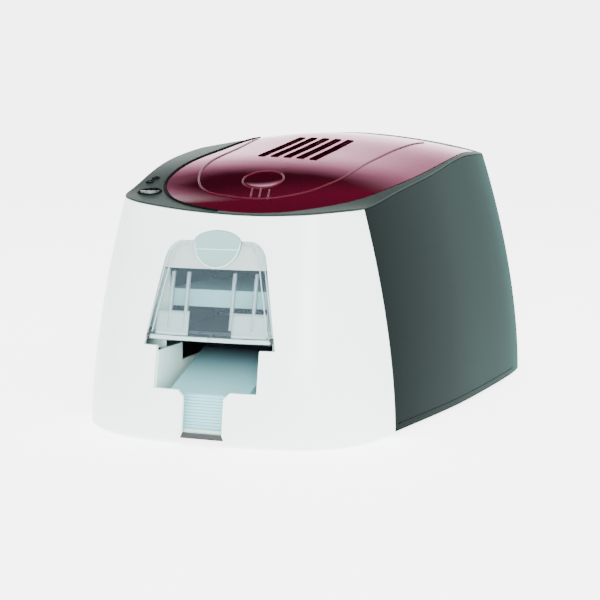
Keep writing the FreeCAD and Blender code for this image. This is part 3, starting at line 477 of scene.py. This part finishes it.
class PRINTER_OT_cover(Operator):
    """Finish the tinted cover and the clear feeder door"""
    bl_idname = "printer.cover"
    bl_label = "Cover finish"

    def execute(self, context):
        red = plain_material("red cover", colours().cover, 0.05, alpha=0.86, tone=0.02, shine_tint=(1, 0.47, 0.67))
        fade(red, "Metallic", *COVER_FADE, COVER_METAL, COVER_LEAN)
        fade(red, "Specular IOR Level", *COVER_FADE, COVER_SHINE, COVER_LEAN)
        dress(["top_cover"], red)
        plain_material("cover line", (0.075, 0.005, 0.016), 0.3, tone=0.02, shine=0.1)
        # Painted shade for the dark beads round the slots
        plain_material("slot rim shade", (0.012, 0.0004, 0.0016), 0.6, tone=0.02, shine=0.0)
        # Painted shade: colour of the dark sheet under the slots
        plain_material("slot shade sheet", (0.05, 0.0012, 0.006), 0.6, tone=0.02, shine=0.0)
        plain_material("gap shadow", (0.003, 0.003, 0.003), 0.6, tone=0.02, shine=0.02)
        clear = plain_material("clear door", (0.05, 0.085, 0.105), 0.08, coat=0.3, alpha=0.2, tone=0.01)
        dress(["feeder_door"], clear)
        plain_material("door rib", (0.4, 0.55, 0.6), 0.12, coat=0.3, alpha=0.6, tone=0.01)
        plain_material("door pad", (0.62, 0.86, 0.84), 0.3, alpha=0.85, tone=0.03)
        # Painted highlight: light lines along the tab's lower edge and its waist
        plain_material("tab highlight", (0.5, 0.72, 0.7), 0.3, tone=0.02)
        plain_material("feeder frame", (0.62, 0.88, 0.84), 0.4, tone=0.02)
        dress(["door_thumb_tab"], plain_material("thumb tab", (0.20, 0.37, 0.35), 0.3, tone=0.02))
        return {"FINISHED"}


class PRINTER_OT_inside(Operator):
    """Finish the bay, cards, hopper, rollers, gears, ribbon, boards and button"""
    bl_idname = "printer.inside"
    bl_label = "Inside finish"

    def execute(self, context):
        tint = colours()
        dress(["output_bay"], plain_material("pale plastic", tint.pale, 0.4, grain=0.05, tone=0.02))
        dress(["card_hopper"], plain_material("hopper plastic", (0.02, 0.026, 0.032), 0.5, grain=0.05, tone=0.02))
        dress(["pressure_plate"], plain_material("plate plastic", (0.34, 0.72, 0.74), 0.35, tone=0.02))
        cards = plain_material("card plastic", (0.3, 0.64, 0.69), 0.25, tone=0.01, shine=0.3)
        stripe(cards, CARD_PITCH, CARD_LINE, CARD_REACH)
        # Painted shade: the cards darken towards the back of the bay
        paint_bay_shade(cards, *BAY_SHADE_SPAN, BAY_SHADE)
        dress(["card_stack"], cards)
        dress(["hinge_brackets", "door_brackets", "head_carrier", "ribbon_cassette", "cassette_saddles",
               "usb_socket", "power_socket", "supply_spool", "takeup_spool"],
              plain_material("black plastic", (0.015, 0.015, 0.016), 0.45, grain=0.1))
        dress(["cover_hinge_pin", "door_pins", "left_frame_plate", "right_frame_plate", "cross_bars",
               "idler_studs", "motor_bracket", "drive_motor", "motor_pinion", "pickup_shaft", "infeed_shaft",
               "platen_shaft", "outfeed_shaft"],
              plain_material("plated steel", tint.steel, 0.28, metallic=1.0, grain=0.04))
        dress(["head_heatsink", "print_head"],
              plain_material("satin aluminium", (0.6, 0.6, 0.62), 0.3, metallic=1.0))
        dress(["pickup_roller", "infeed_roller", "platen_roller", "outfeed_roller", "infeed_pinch_roller",
               "outfeed_pinch_roller"],
              plain_material("roller rubber", (0.03, 0.03, 0.035), 0.75, grain=0.3))
        dress(["pickup_gear", "infeed_gear", "platen_gear", "outfeed_gear", "pickup_idler", "front_idler",
               "rear_idler", "shaft_bushes", "board_standoffs"],
              plain_material("gear plastic", (0.7, 0.69, 0.62), 0.45, grain=0.05))
        dress(["supply_ribbon_roll", "takeup_ribbon_roll"],
              plain_material("ribbon film", (0.02, 0.02, 0.03), 0.18, coat=0.6))
        dress(["main_board", "socket_board", "button_board"],
              plain_material("board resin", (0.01, 0.09, 0.03), 0.35, grain=0.1, grain_scale=300))
        dress(["control_button"], plain_material("silver button", (0.08, 0.11, 0.105), 0.3, metallic=0.6))
        dress(["indicator_lenses"], plain_material("lens plastic", (0.006, 0.008, 0.007), 0.4, shine=0.05))
        return {"FINISHED"}


class PRINTER_OT_cover_details(Operator):
    """Raised line, dimple ring, grip ribs, painted shade round and under the slots, and painted shadow in the gap
    beside the cover
    """
    bl_idname = "printer.cover_details"
    bl_label = "Cover details"

    def execute(self, context):
        size = sizes()
        radius = size.bead_radius
        lift = radius * LINE_LIFT

        mesh = bmesh.new()
        curve = smooth_path([Vector((x * MM, y * MM)) for x, y in RAISED_LINE_MM], 6)
        bead(mesh, over("top_cover", curve, lift), radius)
        piece("cover_raised_line", mesh, "cover line", "cover")

        mesh = bmesh.new()
        bead(mesh, over("top_cover", ellipse(DIMPLE_MIDDLE, DIMPLE_RADII, 40), lift), radius, closed=True)
        piece("dimple_ring", mesh, "cover line", "cover")

        mesh = bmesh.new()
        for x in GRIP_RIB_X:
            foot = (x + GRIP_RIB_DRIFT, GRIP_RIB_REAR - size.rib_length)
            bead(mesh, over("top_cover", steps_between((x, GRIP_RIB_REAR), foot, 5), lift), radius)
        piece("grip_ribs", mesh, "cover line", "cover")

        # Painted shade: dark beads round each slot stand for its shaded opening
        mesh = bmesh.new()
        for index in range(SLOT_COUNT):
            x = SLOT_MIDDLE + (index - SLOT_COUNT // 2) * SLOT_PITCH
            left, right = x - SLOT_HALF, x + SLOT_HALF
            corners = [(left, SLOT_FRONT), (right, SLOT_FRONT), (right, SLOT_REAR), (left, SLOT_REAR)]
            loop = []
            for start, end in zip(corners, corners[1:] + corners[:1]):
                loop += steps_between(start, end, 12 if start[0] == end[0] else 2)[:-1]
            bead(mesh, over("top_cover", loop, -SURFACE_LIFT), size.slot_rim_shade, closed=True)
        piece("slot_shade_rims", mesh, "slot rim shade", "cover")

        # Painted shade: a dark red sheet under the slots, where the inside lies in shade
        mesh = bmesh.new()
        corners = [(SLOT_SHADE_LEFT, SLOT_SHADE_TOP), (SLOT_SHADE_RIGHT, SLOT_SHADE_TOP), (SLOT_SHADE_RIGHT, SLOT_SHADE_FOOT),
                   (SLOT_SHADE_LEFT, SLOT_SHADE_FOOT)]
        depths = [SLOT_SHADE_FRONT + SLOT_SHADE_LENGTH * step / SLOT_SHADE_STEPS for step in range(SLOT_SHADE_STEPS + 1)]
        bar(mesh, [[over("top_cover", [(x, y)], drop)[0] for x, drop in corners] for y in depths])
        piece("slot_shade_sheet", mesh, "slot shade sheet", "cover")

        # Painted shadow: a black bead along the gap between the rim and the cover
        mesh = bmesh.new()
        turns = steps_between((GAP_SHADOW_START,), (GAP_SHADOW_START + GAP_SHADOW_SWEEP,), GAP_SHADOW_STEPS)
        bead(mesh, over("top_rim", [cover_edge(math.radians(turn)) for turn, in turns]), size.gap_shadow_radius)
        piece("cover_gap_shadow", mesh, "gap shadow", "housing")
        return {"FINISHED"}


class PRINTER_OT_side_details(Operator):
    """Groove line above the foot of each side, drawn as a dark bead of painted shadow in the groove"""
    bl_idname = "printer.side_details"
    bl_label = "Side details"

    def execute(self, context):
        # Painted shadow: a dark bead in each side's groove
        mesh = bmesh.new()
        for side, name in ((1, "right_side_panel"), (-1, "left_side_panel")):
            starts = steps_between((side, GROOVE_FRONT, GROOVE_HEIGHT), (side, GROOVE_REAR, GROOVE_HEIGHT), 40)
            sink = Vector((side * GROOVE_SINK, 0, 0))
            bead(mesh, [meet(name, start, (-side, 0, 0)) - sink for start in starts], GROOVE_RADIUS)
        piece("side_grooves", mesh, "gap shadow", "housing")
        return {"FINISHED"}


class PRINTER_OT_button_details(Operator):
    """Painted shadow in the gaps round the control button and the lenses, and a dark crescent of painted shade on
    the button
    """
    bl_idname = "printer.button_details"
    bl_label = "Button details"

    def execute(self, context):
        low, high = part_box("control_button")
        middle = [(a + b) / 2 for a, b in zip(low, high)]
        radius = sizes().button_gap_shadow

        # Painted shadow in the gap round the button
        mesh = bmesh.new()
        bead(mesh, over("top_rim", ellipse(middle, (radius, radius), 36)), GAP_SHADOW_BEAD, closed=True)
        piece("button_gap_shadow", mesh, "gap shadow", "housing")

        # Painted shade: a dark crescent on the button's upper half
        mesh = bmesh.new()
        crescent = arc(middle, CRESCENT_RADIUS, CRESCENT_START, CRESCENT_SWEEP, 12)
        bead(mesh, [Vector((x, y, high[2])) for x, y in crescent], CRESCENT_BEAD)
        piece("button_shade_crescent", mesh, "gap shadow", "button")

        # Painted shadow in the gaps round the lenses
        mesh = bmesh.new()
        for spot in LENS_SPOTS:
            bead(mesh, over("top_rim", ellipse(spot, (LENS_RADIUS, LENS_RADIUS), 20)), GAP_SHADOW_BEAD, closed=True)
        piece("lens_gap_shadows", mesh, "gap shadow", "housing")
        return {"FINISHED"}


class PRINTER_OT_door_details(Operator):
    """Ribs, edge bead (a real edge, drawn lighter as painted highlight) and pads of the clear door, frame behind
    it, painted highlight lines on the tab and hinge dots
    """
    bl_idname = "printer.door_details"
    bl_label = "Door details"

    def execute(self, context):
        radius = sizes().bead_radius

        mesh = bmesh.new()
        section = [(-DOOR_RIB_HALF, DOOR_RIB_NEAR), (DOOR_RIB_HALF, DOOR_RIB_NEAR),
                   (DOOR_RIB_HALF, DOOR_RIB_FAR), (-DOOR_RIB_HALF, DOOR_RIB_FAR)]
        for x in DOOR_RIB_X:
            spine = before("feeder_door", steps_between((x, DOOR_RIB_FOOT), (x, DOOR_RIB_TOP), 6))
            bar(mesh, [[point + Vector((dx, dy, 0)) for dx, dy in section] for point in spine])
        piece("door_ribs", mesh, "door rib", "door")

        # Real bevel and flange edges of the door, drawn lighter as painted highlight
        mesh = bmesh.new()
        for side in (1, -1):
            for shift, count in ((0, len(DOOR_EDGE)), (INNER_EDGE_SHIFT, INNER_EDGE_COUNT)):
                spots = [(side * (x + shift), z) for x, z in DOOR_EDGE[:count]]
                bead(mesh, before("feeder_door", spots, radius * EDGE_SINK), radius * EDGE_BEAD)
        piece("door_edge_bead", mesh, "door rib", "door")

        mesh = bmesh.new()
        for side in (1, -1):
            for (x, z), half, front, back in PADS:
                sheet(mesh, (side * x, z), half, front, back)
        piece("door_pads", mesh, "door pad", "door")

        mesh = bmesh.new()
        for side in (1, -1):
            face = mesh.faces.new([mesh.verts.new((side * x, FRAME_DEPTH, z)) for x, z in FRAME_OUTLINE])
            added = bmesh.ops.extrude_face_region(mesh, geom=[face])["geom"]
            verts = [part for part in added if isinstance(part, bmesh.types.BMVert)]
            bmesh.ops.translate(mesh, vec=(0, FRAME_THICKNESS, 0), verts=verts)
        piece("feeder_frame", mesh, "feeder frame", "housing")

        # Painted highlight along the tab's lower arc; the waist line marks a real crease, drawn in the same light
        # colour
        mesh = bmesh.new()
        bead(mesh, before("door_thumb_tab", arc(TAB_MIDDLE, TAB_RADIUS, 180, 180, 16)), radius * EDGE_BEAD)
        bead(mesh, before("door_thumb_tab", steps_between(WAIST_LEFT, WAIST_RIGHT, 8)), radius * WAIST_BEAD)
        piece("thumb_tab_highlights", mesh, "tab highlight", "door")

        mesh = bmesh.new()
        for middle in before("feeder_door", [(DOT_X, DOT_Z), (-DOT_X, DOT_Z)], DOT_SINK):
            dot = bmesh.ops.create_cone(mesh, cap_ends=True, segments=20, radius1=DOT_RADIUS,
                                        radius2=DOT_RADIUS, depth=DOT_LENGTH)["verts"]
            turn = Matrix.Translation(middle) @ Matrix.Rotation(math.pi / 2, 4, "X")
            bmesh.ops.transform(mesh, matrix=turn, verts=dot)
        piece("door_hinge_dots", mesh, "black plastic", "door")
        return {"FINISHED"}


# Stage
def add_floor(scene):
    mesh = bmesh.new()
    bmesh.ops.create_grid(mesh, x_segments=1, y_segments=1, size=FLOOR_HALF)
    data = bpy.data.meshes.new("floor")
    mesh.to_mesh(data)
    mesh.free()
    data.materials.append(plain_material("floor", (0.92, 0.92, 0.92), 0.9, tone=0.0, shine=0.0,
                                         glow=sizes().floor_glow))
    floor = bpy.data.objects.new("floor", data)
    scene.collection.objects.link(floor)


def add_world(scene):
    """A bright low band of surroundings, dark above it and dimmer towards the left front."""
    world = bpy.data.worlds.new("studio")
    world.use_nodes = True
    tree = world.node_tree
    edge = sizes().sky_edge
    place = tree.nodes.new("ShaderNodeTexCoord").outputs["Generated"]
    band = colour_ramp(tree, along(tree, place, (0, 0, 1)),
                       (edge - SKY_BELOW, WHITE), (edge + SKY_ABOVE, SKY_DARK))
    shade = colour_ramp(tree, along(tree, place, DARK_SIDE), (DARK_START, WHITE), (1.0, SIDE_DARK))
    background = tree.nodes["Background"]
    background.inputs["Strength"].default_value = sizes().sky
    tree.links.new(multiply(tree, band, shade), background.inputs["Color"])
    scene.world = world


def add_lamp(scene, name, spot, width, share):
    light = bpy.data.lights.new(name, "AREA")
    light.shape = "RECTANGLE"
    light.size = width
    light.size_y = width * LAMP_ASPECT
    light.energy = sizes().lamp_power * share
    lamp = bpy.data.objects.new(name, light)
    lamp.location = spot
    lamp.rotation_euler = (Vector(LAMP_AIM) - Vector(spot)).to_track_quat("-Z", "Y").to_euler()
    scene.collection.objects.link(lamp)


def add_camera(scene):
    data = bpy.data.cameras.new("camera")
    data.sensor_width = CAMERA_SENSOR
    data.lens = CAMERA_LENS
    data.clip_end = CAMERA_REACH
    camera = bpy.data.objects.new("camera", data)
    turn, tilt = math.radians(CAMERA_TURN), math.radians(CAMERA_TILT)
    forward = Vector((-math.sin(turn) * math.cos(tilt), math.cos(turn) * math.cos(tilt), -math.sin(tilt)))
    camera.location = Vector(CAMERA_AIM) - CAMERA_DISTANCE * forward
    camera.rotation_euler = forward.to_track_quat("-Z", "Y").to_euler()
    scene.collection.objects.link(camera)
    scene.camera = camera


class PRINTER_OT_stage(Operator):
    """Pale floor, surroundings, soft lamps and the camera"""
    bl_idname = "printer.stage"
    bl_label = "Stage"

    def execute(self, context):
        add_floor(context.scene)
        add_world(context.scene)
        for lamp in LAMPS:
            add_lamp(context.scene, *lamp)
        add_camera(context.scene)
        return {"FINISHED"}


steps = (PRINTER_OT_shell, PRINTER_OT_cover, PRINTER_OT_inside, PRINTER_OT_cover_details,
         PRINTER_OT_side_details, PRINTER_OT_button_details, PRINTER_OT_door_details, PRINTER_OT_stage)


class PRINTER_PT_panel(Panel):
    """Steps, sizes and colours of the card printer"""
    bl_idname = "PRINTER_PT_panel"
    bl_label = "Card printer"
    bl_space_type = "VIEW_3D"
    bl_region_type = "UI"
    bl_category = "Card printer"

    def draw(self, context):
        for step in steps:
            self.layout.operator(step.bl_idname)
        for group in (context.scene.printer_sizes, context.scene.printer_colours):
            for name in group.__annotations__:
                self.layout.prop(group, name)


classes = (PrinterSizes, PrinterColours) + steps + (PRINTER_PT_panel,)


def register():
    for item in classes:
        bpy.utils.register_class(item)
    bpy.types.Scene.printer_sizes = PointerProperty(type=PrinterSizes)
    bpy.types.Scene.printer_colours = PointerProperty(type=PrinterColours)


def unregister():
    del bpy.types.Scene.printer_colours
    del bpy.types.Scene.printer_sizes
    for item in reversed(classes):
        bpy.utils.unregister_class(item)


def main():
    register()
    bpy.ops.printer.shell()
    bpy.ops.printer.cover()
    bpy.ops.printer.inside()
    bpy.ops.printer.cover_details()
    bpy.ops.printer.side_details()
    bpy.ops.printer.button_details()
    bpy.ops.printer.door_details()
    bpy.ops.printer.stage()


if __name__ == "__main__":
    main()
